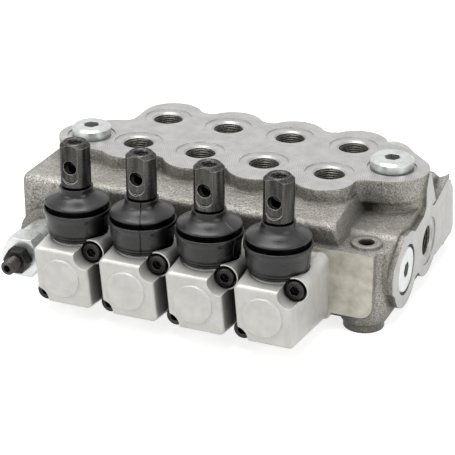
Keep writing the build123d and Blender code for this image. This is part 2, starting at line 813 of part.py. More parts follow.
def shared_nodes():
    """The pieces that all sections share or have in groups."""
    lift = deck_height - spotface_depth
    floor = half_length - side_recess_depth
    left = up(-plug_x, left_plug_y, lift)
    right = up(plug_x, right_plug_y, lift)
    side = outward(floor, tank_front_y, spool_height)
    raised = Pos(0, 0, washer_thickness)
    plug_bottom = lift + washer_thickness - plug_thread_depth
    return {
        "valve_body": machined_body(),
        "box_screws": [s for x in section_xs for s in box_screws(x)],
        "cap_screws": [s for x in section_xs for s in cap_screws(x)],
        "spool_wipers": [s for x in section_xs for s in wipers(x)],
        "ball_seats": [ball_seat(x) for x in section_xs],
        "ball_retainers": [ball_retainer(x) for x in section_xs],
        "left_deck_plug": plug(left * raised, left_plug_radius, plug_head_height),
        "right_deck_plug": plug(right * raised, right_plug_radius, plug_head_height),
        "side_plug": plug(side * raised, side_plug_radius, side_recess_depth - washer_thickness - slip),
        "plug_washers": [plug_washer(left, left_plug_radius), plug_washer(right, right_plug_radius),
                         plug_washer(side, left_plug_radius)],
        "relief_cartridge": relief_cartridge(),
        "relief_nut": relief_nut(),
        "relief_screw": relief_screw(),
        "relief_plunger": relief_plunger(),
        "relief_poppet": valve_poppet(forward(relief_x, front + relief_seat_y, relief_height),
                                      relief_seat_radius, relief_guide_radius, relief_poppet_length),
        "relief_spring": coil(relief_place(plunger_reach), relief_spring_radius, relief_spring_wire,
                              relief_seat_y - relief_poppet_length - plunger_reach, 6),
        "check_poppet": valve_poppet(up(plug_x, right_plug_y, check_seat), check_seat_radius,
                                     check_guide_radius, check_length),
        "check_spring": coil(up(plug_x, right_plug_y, check_seat + check_length), check_spring_radius,
                             relief_spring_wire, plug_bottom - check_seat - check_length, 5),
    }


def write(name, shape):
    """Save one node, seated with its origin under the middle of the valve."""
    parts = shape if isinstance(shape, list) else [shape]
    placed = [Pos(0, -middle_y, 0) * part for part in parts]
    export_step(placed[0] if len(placed) == 1 else Compound(children=placed), f"parts/{name}.step")


def main():
    os.makedirs("parts", exist_ok=True)
    nodes = shared_nodes()
    for number, x in enumerate(section_xs, 1):
        nodes.update(section_nodes(number, x))
    for name, shape in nodes.items():
        write(name, shape)
    print(len(nodes), "nodes")


main()
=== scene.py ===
# %% [markdown]
# # A four-lever hydraulic valve
# The real object is a monoblock directional valve: one cast iron body with four spools in it,
# four die-cast boxes with rubber-booted levers in front, and threaded ports on a milled deck.
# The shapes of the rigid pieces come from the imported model. This lesson gives them their
# finishes, and makes the pieces that bend, that shorten, or that are too fine for the model:
# boots, springs and threads.

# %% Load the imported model
import bpy
import bmesh
import math
import numpy as np
from functools import partial
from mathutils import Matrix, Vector


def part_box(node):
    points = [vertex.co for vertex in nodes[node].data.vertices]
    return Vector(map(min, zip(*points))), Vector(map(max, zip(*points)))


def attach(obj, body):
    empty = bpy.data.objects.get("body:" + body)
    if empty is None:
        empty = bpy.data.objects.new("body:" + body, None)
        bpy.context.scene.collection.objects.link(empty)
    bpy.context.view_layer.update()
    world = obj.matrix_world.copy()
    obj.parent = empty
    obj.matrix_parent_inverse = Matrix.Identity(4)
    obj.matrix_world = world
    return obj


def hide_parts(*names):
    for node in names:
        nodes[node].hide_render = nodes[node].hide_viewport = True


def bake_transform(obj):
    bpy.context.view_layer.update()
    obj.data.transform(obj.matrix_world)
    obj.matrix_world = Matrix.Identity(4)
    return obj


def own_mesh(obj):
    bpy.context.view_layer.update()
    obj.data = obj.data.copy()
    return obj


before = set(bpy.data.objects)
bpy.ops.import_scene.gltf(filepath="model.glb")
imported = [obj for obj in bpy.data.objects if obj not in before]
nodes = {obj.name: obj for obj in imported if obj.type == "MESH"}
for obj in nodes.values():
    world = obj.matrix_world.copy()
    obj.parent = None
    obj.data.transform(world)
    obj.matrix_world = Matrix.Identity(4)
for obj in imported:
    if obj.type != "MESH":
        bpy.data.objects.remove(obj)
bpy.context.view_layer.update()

# %% [markdown]
# Sizes are written in millimetres, as on a drawing, and turned to metres where they are used.
# They repeat the drawing of the casting: four sections 38 mm apart, ports in two rows on the
# deck, and two holes in the right end face. The relief valve stands out of a boss at the
# left of the front face.

# %% Sizes shared by the pieces
mm = 0.001
pitch = 38.0
sections = [(i - 1.5) * pitch for i in range(4)]
front_row_y, back_row_y = -14.0, 26.0
deck_middle_y = (front_row_y + back_row_y) / 2
deck_z = 68.0
spotface_radius, spotface_depth = 13.65, 0.6
port_radius = 8.33
front_face_y, back_face_y = -64.0, 76.0
end_face_x = 107.5
end_hole_radius, hole_depth = 14.1, 18.0
spool_z = 26.0
pressure_y, side_plug_y, tank_y = 9.0, -30.0, 44.0
lever_y = -89.5
lever_top = 96.0
relief_x, relief_z = -91.0, 24.0
relief_boss_edge_x = -72.0
left_plug_centre, right_plug_centre = (-86, -15, 0), (86, 5.5, 0)
print("section places in mm:", sections)

# %% [markdown]
# Colours are picked as sRGB hex values, which is how a picture shows them. The shader works
# in linear light, so one function turns a hex value into linear red, green and blue.

# %% Colours
def linear(hex_value):
    """sRGB to linear: c / 12.92 up to 0.04045, else ((c + 0.055) / 1.055) ** 2.4."""
    channels = [int(hex_value[i:i + 2], 16) / 255 for i in (1, 3, 5)]
    light = [c / 12.92 if c <= 0.04045 else ((c + 0.055) / 1.055) ** 2.4 for c in channels]
    return (*light, 1.0)


print("mid grey in linear light:", round(linear("#808080")[0], 3))

# %% [markdown]
# A material is a small graph of nodes. One function adds a node with its options and its
# sockets. Whatever is given as a node or an output is linked, and anything else is a value.

# %% Add a node
def add(tree, kind, settings=None, **inputs):
    """Add a shader node. Settings are its options. Inputs are its sockets, by label with _ for a
    space, or by place as _0, _1. A node is linked by its first output in use."""
    node = tree.nodes.new("ShaderNode" + kind)
    for name, value in (settings or {}).items():
        setattr(node, name, value)
    for name, value in inputs.items():
        if name[0] == "_":
            socket = node.inputs[int(name[1:])]
        else:
            socket = next(s for s in node.inputs if s.enabled and s.name == name.replace("_", " "))
        if isinstance(value, bpy.types.Node):
            value = next(output for output in value.outputs if output.enabled)
        if isinstance(value, bpy.types.NodeSocket):
            tree.links.new(value, socket)
        else:
            socket.default_value = value
    return node


COLOUR, FLOAT, VECTOR = {"data_type": "RGBA"}, {"data_type": "FLOAT"}, {"data_type": "VECTOR"}
print("node function ready")

# %% [markdown]
# Each finish starts from an empty material with a Principled shader. What is the same all
# over goes on the shader's own sockets, and what varies is linked.

# %% Start and end a finish
def start_finish(name):
    """An empty material, a short name for adding its nodes, and its Object coordinate."""
    material = bpy.data.materials.new(name)
    material.use_nodes = True
    material.node_tree.nodes.clear()
    node = partial(add, material.node_tree)
    return material, node, node("TexCoord").outputs["Object"]


def end_finish(node, **sockets):
    """The Principled shader with its sockets, joined to the material's output."""
    shader = node("BsdfPrincipled", **sockets)
    node("OutputMaterial", Surface=shader)


def waves_per(size):
    """Noise scale whose grains are this many millimetres across."""
    return 1 / (size * mm)


print("0.8 mm grains need a scale of", waves_per(0.8))

# %% [markdown]
# ## Cast iron, shot blasted, with milled faces
# The body is grey iron poured in sand. Blasting leaves a coarse, sparkling grain and a warm
# grey. The deck and its spotfaces, both ends and the front and back faces are milled, so they
# are flat, lighter and smoother. Both finishes share one material, and masks choose between
# them: a point is milled where it lies on a milled plane and the surface looks along that
# plane's axis, and bored where it lies inside one of the round holes.

# %% Masks of the machined surfaces
def mask_of_plane(node, position, normal, plane, direction, width):
    """1 within a width in mm of a plane, where the surface looks along the direction."""
    offset = node("Math", {"operation": "SUBTRACT"}, _0=position, _1=plane)
    near = node("Math", {"operation": "COMPARE"}, _0=offset, _1=0.0, _2=width)
    looks = node("Math", {"operation": "COMPARE"}, _0=normal, _1=float(direction), _2=0.1)
    return node("Math", {"operation": "MULTIPLY"}, _0=near, _1=looks)


def radius_from(node, point, centre, keep):
    """Distance in mm from an axis: the length of the vector to the centre once it is flattened
    along the axis."""
    away = node("VectorMath", {"operation": "SUBTRACT"}, _0=point, _1=centre)
    flat = node("VectorMath", {"operation": "MULTIPLY"}, _0=away, _1=keep)
    return node("VectorMath", {"operation": "LENGTH"}, _0=flat).outputs["Value"]


def radius_from_ports(node, xyz):
    """Distance in mm from the nearest port of the deck: the rows and columns repeat, so each
    coordinate is folded back and forth over half a step, and the two are joined as a length."""
    fold_x = node("Math", {"operation": "SUBTRACT"}, _0=xyz.outputs["X"], _1=sections[-1])
    fold_x = node("Math", {"operation": "PINGPONG"}, _0=fold_x, _1=pitch / 2)
    fold_y = node("Math", {"operation": "SUBTRACT"}, _0=xyz.outputs["Y"], _1=back_row_y)
    fold_y = node("Math", {"operation": "PINGPONG"}, _0=fold_y, _1=(back_row_y - front_row_y) / 2)
    both = node("CombineXYZ", X=fold_x, Y=fold_y)
    return node("VectorMath", {"operation": "LENGTH"}, _0=both).outputs["Value"]


def all_of(node, masks, operation="MAXIMUM"):
    """Join masks two by two: any of them with MAXIMUM, every one with MULTIPLY."""
    joined = masks[0]
    for mask in masks[1:]:
        joined = node("Math", {"operation": operation}, _0=joined, _1=mask)
    return joined


print("mask functions ready")

# %% [markdown]
# The grain is noise at three sizes. Blasted sand grain is near 0.4 mm and is drawn at 0.9 mm
# so that it shows; lumps of 3 mm and stains of 16 mm come from the mould. Painted shade also
# darkens the colour in the hollows, where little sky is seen.
#
# The face mill is about 150 mm across, so it leaves arcs of 76 mm radius on the deck, a real
# 0.3 mm apart and drawn 1.3 mm apart. The end faces have straight lines at that step. The
# deck's ports and spotfaces have rings, a real 0.2 mm apart and drawn 0.9 mm apart. The front
# face is yellower in the photograph and its marks are shallow, and the back face is taken to
# be the same.

# %% Cast iron
def cast_iron():
    """Cast height = grain + 1.4 * lumps. Machined height = sine of 2 pi * distance / step, where
    the distance runs across the cutter's arcs, across the end faces or out from a port. The
    deck's mask lies halfway between the deck and its spotfaces, and takes in both."""
    grain_size, lump_size, stain_size, haze_size = 0.9, 3.0, 16.0, 7.0
    cutter_radius, mill_step, bore_step = 76.0, 1.3, 0.9
    cast_edge, milled_edge, relief_height, sky_reach = 2.6, 0.4, 0.5, 26.0
    deck_width, end_width, side_width = 0.5, 0.8, 0.3
    material, node, place = start_finish("shot_blasted_cast_iron")
    point = node("VectorMath", {"operation": "SCALE"}, _0=place, Scale=1 / mm)
    xyz = node("SeparateXYZ", Vector=point)
    geometry = node("NewGeometry")
    to_object = {"vector_type": "NORMAL", "convert_from": "WORLD", "convert_to": "OBJECT"}
    outward = node("VectorTransform", to_object, Vector=geometry.outputs["True Normal"])
    normal = node("SeparateXYZ", Vector=outward)

    planes = (("Z", deck_z - spotface_depth / 2, 1, deck_width), ("X", end_face_x, 1, end_width),
              ("X", -end_face_x, -1, end_width), ("Y", front_face_y, -1, side_width),
              ("Y", back_face_y, 1, side_width))
    faces = [mask_of_plane(node, xyz.outputs[axis], normal.outputs[axis], plane, direction, width)
             for axis, plane, direction, width in planes]
    clear_of_boss = node("Math", {"operation": "GREATER_THAN"}, _0=xyz.outputs["X"], _1=relief_boss_edge_x)
    front_face = all_of(node, [faces[3], clear_of_boss], "MULTIPLY")
    stained = all_of(node, [front_face, faces[4]])
    milled = all_of(node, faces[:3] + [stained])
    port_distance = radius_from_ports(node, xyz)
    in_port = node("Math", {"operation": "LESS_THAN"}, _0=port_distance, _1=spotface_radius + 0.1)
    high = node("Math", {"operation": "GREATER_THAN"}, _0=xyz.outputs["Z"], _1=deck_z - hole_depth)
    columns = node("Math", {"operation": "COMPARE"}, _0=xyz.outputs["X"], _1=0.0,
                   _2=sections[-1] + pitch / 2)
    rows = node("Math", {"operation": "COMPARE"}, _0=xyz.outputs["Y"], _1=deck_middle_y,
                _2=back_row_y - front_row_y)
    holes = [all_of(node, [in_port, high, columns, rows], "MULTIPLY")]
    at_right_end = node("Math", {"operation": "GREATER_THAN"}, _0=xyz.outputs["X"],
                        _1=end_face_x - hole_depth)
    for y in (pressure_y, side_plug_y):
        reach = radius_from(node, point, (0, y, spool_z), (0, 1, 1))
        near = node("Math", {"operation": "LESS_THAN"}, _0=reach, _1=end_hole_radius)
        holes.append(all_of(node, [near, at_right_end], "MULTIPLY"))
    bored = all_of(node, holes)
    machined = node("Math", {"operation": "MAXIMUM"}, _0=milled, _1=bored)

    grain = node("TexNoise", Vector=place, Scale=waves_per(grain_size), Detail=4.0, Roughness=0.7)
    lumps = node("TexNoise", Vector=place, Scale=waves_per(lump_size), Detail=2.0)
    stains = node("TexNoise", Vector=place, Scale=waves_per(stain_size), Detail=3.0)
    grain_share = node("MapRange", Value=grain, From_Min=0.36, From_Max=0.66)
    stain_share = node("MapRange", Value=stains, From_Min=0.35, From_Max=0.65, To_Max=0.55)
    cast_colour = node("Mix", COLOUR, Factor=grain_share, A=linear("#6a665f"), B=linear("#d2cfc9"))
    cast_colour = node("Mix", COLOUR, Factor=stain_share, A=cast_colour, B=linear("#88847c"))
    # Painted shade: the colour goes towards #3b3833 where little sky is seen within the reach.
    open_sky = node("AmbientOcclusion", {"samples": 6}, Distance=sky_reach * mm)
    open_share = node("MapRange", Value=open_sky.outputs["AO"], From_Min=0.25, From_Max=0.95)
    cast_colour = node("Mix", COLOUR, Factor=open_share, A=linear("#3b3833"), B=cast_colour)

    across = node("Math", {"operation": "SUBTRACT"}, _0=xyz.outputs["Y"], _1=deck_middle_y)
    across = node("Math", {"operation": "POWER"}, _0=across, _1=2.0)
    drop = node("Math", {"operation": "SUBTRACT"}, _0=cutter_radius ** 2, _1=across)
    drop = node("Math", {"operation": "SQRT"}, _0=drop)
    phase = node("Math", {"operation": "ADD"}, _0=xyz.outputs["X"], _1=drop)
    ends = all_of(node, faces[1:3])
    phase = node("Mix", FLOAT, Factor=ends, A=phase, B=xyz.outputs["Y"])
    phase = node("Math", {"operation": "MULTIPLY"}, _0=phase, _1=2 * math.pi / mill_step)
    arcs = node("Math", {"operation": "SINE"}, _0=phase)
    rings = node("Math", {"operation": "MULTIPLY"}, _0=port_distance, _1=2 * math.pi / bore_step)
    rings = node("Math", {"operation": "SINE"}, _0=rings)
    marks = node("Mix", FLOAT, Factor=holes[0], A=arcs, B=rings)

    mark_share = node("MapRange", Value=marks, From_Min=-1.0, To_Min=0.1, To_Max=0.5)
    haze = node("TexNoise", Vector=place, Scale=waves_per(haze_size), Detail=5.0, Roughness=0.6)
    haze_share = node("MapRange", Value=haze, From_Min=0.3, From_Max=0.7)
    milled_share = node("Math", {"operation": "MULTIPLY_ADD"}, _0=haze_share, _1=0.5, _2=mark_share)
    milled_colour = node("Mix", COLOUR, Factor=milled_share, A=linear("#989795"), B=linear("#c0bfbd"))
    stain_colour = node("Mix", COLOUR, Factor=haze_share, A=linear("#a5a193"), B=linear("#c8c5bb"))
    milled_colour = node("Mix", COLOUR, Factor=stained, A=milled_colour, B=stain_colour)
    colour = node("Mix", COLOUR, Factor=machined, A=cast_colour, B=milled_colour)

    cast_rough = node("MapRange", Value=grain, From_Min=0.3, From_Max=0.7, To_Min=0.5, To_Max=0.26)
    rough = node("Mix", FLOAT, Factor=machined, A=cast_rough, B=0.4)
    cast_height = node("Math", {"operation": "MULTIPLY_ADD"}, _0=lumps, _1=1.4, _2=grain)
    mark_depth = node("MapRange", Value=stained, To_Min=0.016, To_Max=0.004)
    mark_height = node("Math", {"operation": "MULTIPLY"}, _0=marks, _1=mark_depth)
    height = node("Mix", FLOAT, Factor=machined, A=cast_height, B=mark_height)
    soft = node("Bevel", {"samples": 6}, Radius=cast_edge * mm)
    edge = node("Bevel", {"samples": 4}, Radius=milled_edge * mm)
    softened = node("Mix", VECTOR, Factor=machined, A=soft, B=edge)
    bump = node("Bump", Strength=1.0, Distance=relief_height * mm, Height=height, Normal=softened)
    end_finish(node, Base_Color=colour, Metallic=0.6, Roughness=rough, Normal=bump)
    return material


iron = cast_iron()
print("made", iron.name, "with", len(iron.node_tree.nodes), "nodes")

# %% [markdown]
# ## Zinc plate
# The plugs are turned from bar and zinc plated. Plating is thin, so the lathe's rings still
# show through it, round the axis of each piece. The rings are 0.2 mm apart on the real part
# and drawn 0.8 mm apart. Zinc is a bright, slightly blue white.

# %% Zinc plated steel
def zinc_plate(name, centre, keep):
    """Zinc with rings round an axis: ring height = sine of 2 pi * radius / ring step."""
    ring_step, ring_height, cloud_size, edge, sky_reach = 0.8, 0.006, 5.0, 0.35, 6.0
    material, node, place = start_finish(name)
    point = node("VectorMath", {"operation": "SCALE"}, _0=place, Scale=1 / mm)
    radius = radius_from(node, point, centre, keep)
    phase = node("Math", {"operation": "MULTIPLY"}, _0=radius, _1=2 * math.pi / ring_step)
    rings = node("Math", {"operation": "SINE"}, _0=phase)
    cloud = node("TexNoise", Vector=place, Scale=waves_per(cloud_size), Detail=4.0)
    share = node("MapRange", Value=cloud, From_Min=0.35, From_Max=0.65)
    colour = node("Mix", COLOUR, Factor=share, A=linear("#c3c6c5"), B=linear("#d6d9d8"))
    # Painted shade: the colour goes towards #4c4c4a where little sky is seen, as in the plugs'
    # counterbores.
    open_sky = node("AmbientOcclusion", {"samples": 6}, Distance=sky_reach * mm)
    open_share = node("MapRange", Value=open_sky.outputs["AO"], From_Min=0.15, From_Max=0.7)
    colour = node("Mix", COLOUR, Factor=open_share, A=linear("#4c4c4a"), B=colour)
    rough = node("MapRange", Value=cloud, From_Min=0.3, From_Max=0.7, To_Min=0.26, To_Max=0.34)
    soft = node("Bevel", {"samples": 4}, Radius=edge * mm)
    bump = node("Bump", Strength=1.0, Distance=ring_height * mm, Height=rings, Normal=soft)
    end_finish(node, Base_Color=colour, Metallic=0.9, Roughness=rough, Normal=bump)
    return material


zinc_left = zinc_plate("zinc_plated_left_plug", left_plug_centre, (1, 1, 0))
zinc_right = zinc_plate("zinc_plated_right_plug", right_plug_centre, (1, 1, 0))
zinc_side = zinc_plate("zinc_plated_side_plug", (0, side_plug_y, spool_z), (0, 1, 1))
print("made the plugs' three zinc finishes")

# %% [markdown]
# ## Die-cast, blackened and ground metals
# The lever boxes are die-cast aluminium, tumbled after casting: pale and matt, with soft
# clouds and a painted highlight on their edges. The levers are phosphated steel, nearly black,
# with rubbed bare metal and a painted highlight along their edges, and clouds drawn out along
# the bar. Screws are black oxide, which stays dark when seen edge on, as the levers do. The
# relief cartridge and the small screws and bolts are zinc plated but too small for rings to
# show. Washers are dull steel, the spools are ground bright, the seats are turned, and springs
# are drawn wire. Threads are painted dark, as shade in their grooves, and their crests take a
# painted highlight. Painted shade darkens all these metals where little sky is seen.
#
# They differ in a few values, so one function makes them: two cloud colours, an edge colour,
# the hollow colour, and the size and depth of a fine unevenness, all lengths in mm. The real
# unevenness is under 0.3 mm across, and it is drawn at 0.6 to 3 mm so that it shows.

# %% One-coat metals
def metal(name, dark, light, edge_colour, hollow, rough, metallic, grain_size, grain_depth,
          edge_size=0.4, rim_tint="#ffffff", stretch=(1, 1, 1), reach=10.0):
    """Clouds mix dark and light, stretched by a factor on each axis. The edge colour, a painted
    highlight that on the levers also stands for rubbed wear, comes in where the bevelled normal
    leaves the true one, and the hollow colour, a painted shade, where little sky is seen within
    the reach. The rim tint colours the shine of glancing light."""
    cloud_size = 6.0
    material, node, place = start_finish(name)
    drawn = node("VectorMath", {"operation": "MULTIPLY"}, _0=place, _1=stretch)
    cloud = node("TexNoise", Vector=drawn, Scale=waves_per(cloud_size), Detail=5.0, Roughness=0.55)
    share = node("MapRange", Value=cloud, From_Min=0.34, From_Max=0.66)
    colour = node("Mix", COLOUR, Factor=share, A=linear(dark), B=linear(light))
    # Painted shade: the hollow colour comes in where little sky is seen within the reach.
    open_sky = node("AmbientOcclusion", {"samples": 8}, Distance=reach * mm)
    open_share = node("MapRange", Value=open_sky.outputs["AO"], From_Min=0.15, From_Max=0.7)
    colour = node("Mix", COLOUR, Factor=open_share, A=linear(hollow), B=colour)
    soft = node("Bevel", {"samples": 8}, Radius=edge_size * mm)
    geometry = node("NewGeometry")
    agree = node("VectorMath", {"operation": "DOT_PRODUCT"}, _0=soft, _1=geometry.outputs["Normal"])
    # Painted highlight, which on the levers also stands for rubbed wear: the edge colour comes in where
    # the bevelled normal leaves the true one.
    edge_highlight_and_wear = node("MapRange", Value=agree.outputs["Value"], From_Min=0.99, From_Max=0.9, To_Max=0.8)
    colour = node("Mix", COLOUR, Factor=edge_highlight_and_wear, A=colour, B=linear(edge_colour))
    fine = node("TexNoise", Vector=place, Scale=waves_per(grain_size), Detail=3.0)
    roughness = node("MapRange", Value=fine, From_Min=0.3, From_Max=0.7, To_Min=rough - 0.07,
                     To_Max=rough + 0.07)
    bump = node("Bump", Strength=1.0, Distance=grain_depth * mm, Height=fine, Normal=soft)
    end_finish(node, Base_Color=colour, Metallic=metallic, Roughness=roughness, Normal=bump,
               Specular_Tint=linear(rim_tint))
    return material


# Painted shade: the hollow colour, reached over 16 mm, darkens the narrow sides between the boxes.
aluminium = metal(
    "tumbled_die_cast_aluminium", dark="#c9c8c4", light="#d5d4d0", edge_colour="#ecebe8", hollow="#5a5955",
    rough=0.44, metallic=0.3, grain_size=0.8, grain_depth=0.05, edge_size=0.7, reach=16.0)
cap_aluminium = metal(
    "turned_cap_aluminium", dark="#b9b9b6", light="#cbcbc8", edge_colour="#dddcd9", hollow="#8f8f8c",
    rough=0.35, metallic=0.7, grain_size=0.8, grain_depth=0.02)
blackened = metal(
    "phosphated_lever_steel", dark="#312f2d", light="#5a5855", edge_colour="#a9a7a3", hollow="#080807",
    rough=0.26, metallic=0.6, grain_size=1.2, grain_depth=0.02, edge_size=0.6, rim_tint="#6a6a6a",
    stretch=(2.2, 2.2, 0.3))
black_oxide = metal(
    "black_oxide_screw_steel", dark="#232322", light="#444341", edge_colour="#7d7b77", hollow="#0a0a09",
    rough=0.34, metallic=0.6, grain_size=0.6, grain_depth=0.02, edge_size=0.3, rim_tint="#555555")
bare_zinc = metal(
    "zinc_plated_small_parts", dark="#c9cccb", light="#dadddc", edge_colour="#eceeed", hollow="#8b8d8c",
    rough=0.3, metallic=0.8, grain_size=3.0, grain_depth=0.001, edge_size=0.3, reach=3.0)
washer_steel = metal(
    "bonded_washer_steel", dark="#7d7e7d", light="#a4a5a4", edge_colour="#c2c3c2", hollow="#4c4c4b",
    rough=0.35, metallic=0.85, grain_size=0.6, grain_depth=0.01, edge_size=0.2)
ground = metal(
    "ground_spool_steel", dark="#c3c4c5", light="#d3d4d5", edge_colour="#e4e5e6", hollow="#77787a",
    rough=0.18, metallic=1.0, grain_size=0.6, grain_depth=0.004)
turned = metal(
    "turned_seat_steel", dark="#a9aaab", light="#bcbdbe", edge_colour="#d6d7d8", hollow="#66676a",
    rough=0.3, metallic=0.9, grain_size=0.6, grain_depth=0.01)
spring_steel = metal(
    "drawn_spring_steel", dark="#7d7c7b", light="#929190", edge_colour="#a9a8a7", hollow="#4a4948",
    rough=0.35, metallic=0.9, grain_size=0.6, grain_depth=0.01)
# Painted shade and highlight: the tapped threads in the iron and in the levers are painted darker than the
# metal they are cut in, their roots take the painted shade and their crests the painted edge highlight.
lever_thread = metal(
    "lever_thread_steel", dark="#1a1918", light="#2b2a29", edge_colour="#8b8984", hollow="#020202",
    rough=0.25, metallic=0.6, grain_size=3.0, grain_depth=0.002, edge_size=0.15)
screw_thread = metal(
    "black_oxide_thread_steel", dark="#33312f", light="#4f4d4a", edge_colour="#9b9994", hollow="#030303",
    rough=0.3, metallic=0.7, grain_size=3.0, grain_depth=0.002, edge_size=0.08, reach=1.5)
thread_iron = metal(
    "tapped_thread_iron", dark="#3b3936", light="#54524e", edge_colour="#b9b7b3", hollow="#060605",
    rough=0.24, metallic=0.9, grain_size=3.0, grain_depth=0.002, edge_size=0.1, reach=5.0)
print("made the metals")

# %% [markdown]
# ## Rubber and bearing plastic
# Boots are moulded nitrile rubber: nearly black, with a broad soft highlight; painted shade
# darkens the grooves, where little sky is seen, and dims the highlight there. The mould's fine
# texture is near 0.1 mm across and is drawn at 1 mm. The ball seats are white acetal, which
# hides under the boots.

# %% Rubber and plastic
def moulded(name, dark, light, hollow, rough, grain_size, grain_depth):
    """Clouds mix dark and light; painted shade, the hollow colour and a loss of shine, comes in
    where little sky is seen."""
    cloud_size, sky_reach = 9.0, 12.0
    material, node, place = start_finish(name)
    cloud = node("TexNoise", Vector=place, Scale=waves_per(cloud_size), Detail=4.0)
    share = node("MapRange", Value=cloud, From_Min=0.35, From_Max=0.65)
    colour = node("Mix", COLOUR, Factor=share, A=linear(dark), B=linear(light))
    # Painted shade: the hollow colour and a dimmer shine come in where little sky is seen, as in the
    # boot's recess.
    open_sky = node("AmbientOcclusion", {"samples": 8}, Distance=sky_reach * mm)
    open_share = node("MapRange", Value=open_sky.outputs["AO"], From_Min=0.25, From_Max=0.85)
    colour = node("Mix", COLOUR, Factor=open_share, A=linear(hollow), B=colour)
    shine = node("MapRange", Value=open_sky.outputs["AO"], From_Min=0.25, From_Max=0.85, To_Max=0.42)
    roughness = node("MapRange", Value=cloud, From_Min=0.3, From_Max=0.7, To_Min=rough - 0.08,
                     To_Max=rough + 0.08)
    fine = node("TexNoise", Vector=place, Scale=waves_per(grain_size), Detail=2.0)
    bump = node("Bump", Strength=1.0, Distance=grain_depth * mm, Height=fine)
    end_finish(node, Base_Color=colour, Roughness=roughness, Normal=bump, Specular_IOR_Level=shine)
    return material


rubber = moulded("moulded_boot_rubber", dark="#1b1b1b", light="#2a2a2a", hollow="#030303", rough=0.3,
                 grain_size=1.2, grain_depth=0.02)
seal_rubber = moulded("seal_rubber", dark="#242425", light="#2e2e2f", hollow="#101010", rough=0.5,
                      grain_size=1.0, grain_depth=0.02)
acetal = moulded("acetal_bearing_plastic", dark="#dedbd0", light="#e9e6dc", hollow="#b9b6ac", rough=0.4,
                 grain_size=1.0, grain_depth=0.01)
print("made rubber and plastic")

# %% [markdown]
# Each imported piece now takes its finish. Its mesh already has the right shape, so only the
# material in its slots changes.

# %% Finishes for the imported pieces
finishes = {
    "valve_body": iron, "lever_box": aluminium, "lever": blackened, "boot": rubber,
    "spool_wipers": seal_rubber, "box_screws": black_oxide, "relief_nut": black_oxide,
    "relief_screw": black_oxide, "cap_screws": bare_zinc, "relief_cartridge": bare_zinc,
    "end_bolt": bare_zinc, "left_deck_plug": zinc_left, "right_deck_plug": zinc_right,
    "side_plug": zinc_side, "plug_washers": washer_steel,
    "spring_cap": cap_aluminium, "spool": ground, "ball_seats": acetal, "ball_retainers": acetal,
    "front_seat": turned, "rear_seat": turned, "relief_plunger": turned, "relief_poppet": turned,
    "check_poppet": turned, "centring_spring": spring_steel, "relief_spring": spring_steel,
    "check_spring": spring_steel,
}
for name, thing in nodes.items():
    kind = name[:-2] if name[-2] == "_" and name[-1].isdigit() else name
    for slot in thing.material_slots:
        slot.material = finishes[kind]
print("finished", len(nodes), "packed pieces")

# %% [markdown]
# ## Surfaces from grids
# The pieces made here are surfaces over a grid of two parameters. One function joins a grid
# of points into quads, wraps it round where the surface closes on itself, and turns the faces
# outwards: the volume inside a closed surface comes out negative when they point in.

# %% Grid to mesh
def grid_mesh(name, points, close_rows=True):
    """Join points[i, j], in mm, to its neighbours. Each row closes on itself, and so do the rows
    as a ring, unless both end rows are single points, which are merged."""
    merge_distance, sharp_angle = 1e-7, math.radians(38)
    rows, columns = points.shape[:2]
    index = np.arange(rows * columns).reshape(rows, columns)
    index = np.hstack([index, index[:, :1]])
    if close_rows:
        index = np.vstack([index, index[:1]])
    quads = np.stack([index[:-1, :-1], index[:-1, 1:], index[1:, 1:], index[1:, :-1]], axis=-1)
    quads = quads.reshape(-1, 4)
    corners = points.reshape(-1, 3)[quads]
    halves = np.concatenate([corners[:, (0, 1, 2)], corners[:, (0, 2, 3)]])
    volume = np.einsum("ij,ij->i", halves[:, 0], np.cross(halves[:, 1], halves[:, 2])).sum() / 6
    if volume < 0:
        quads = quads[:, ::-1]
    mesh = bpy.data.meshes.new(name)
    mesh.from_pydata((points.reshape(-1, 3) * mm).tolist(), [], quads.tolist())
    work = bmesh.new()
    work.from_mesh(mesh)
    bmesh.ops.remove_doubles(work, verts=work.verts, dist=merge_distance)
    work.to_mesh(mesh)
    work.free()
    mesh.polygons.foreach_set("use_smooth", np.ones(len(mesh.polygons), bool))
    mesh.set_sharp_from_angle(angle=sharp_angle)
    piece = bpy.data.objects.new(name, mesh)
    bpy.context.scene.collection.objects.link(piece)
    return piece


def smooth_profile(points, steps=6):
    """Smooth curve through (radius, height) points: each span is a cubic that takes its slopes
    from the neighbouring points, sampled in equal steps."""
    p = np.array(points, float)
    padded = np.vstack([2 * p[0] - p[1], p, 2 * p[-1] - p[-2]])
    t = np.linspace(0, 1, steps, endpoint=False)[:, None]
    a, b, c, d = (padded[i:len(padded) - 3 + i, None, :] for i in range(4))
    square, cube = 2 * a - 5 * b + 4 * c - d, 3 * b - a - 3 * c + d
    spans = 0.5 * (2 * b + (c - a) * t + square * t ** 2 + cube * t ** 3)
    return np.vstack([spans.reshape(-1, 2), p[-1]])


print("grid functions ready")

# %% [markdown]
# ## Rubber boots
# Each boot is a thin moulded cup: a ribbed sleeve grips the box's collar, a rim stands out
# below a deep dark recess, and a bell runs up to a neck that grips the lever. It is a body of
# revolution with a mould line, so the grid is height along the profile by angle round it.
# The points are (radius, height above the seat). The outside follows the photograph from foot
# to neck, and the inside, which is hidden, comes back down and keeps the rubber's wall.

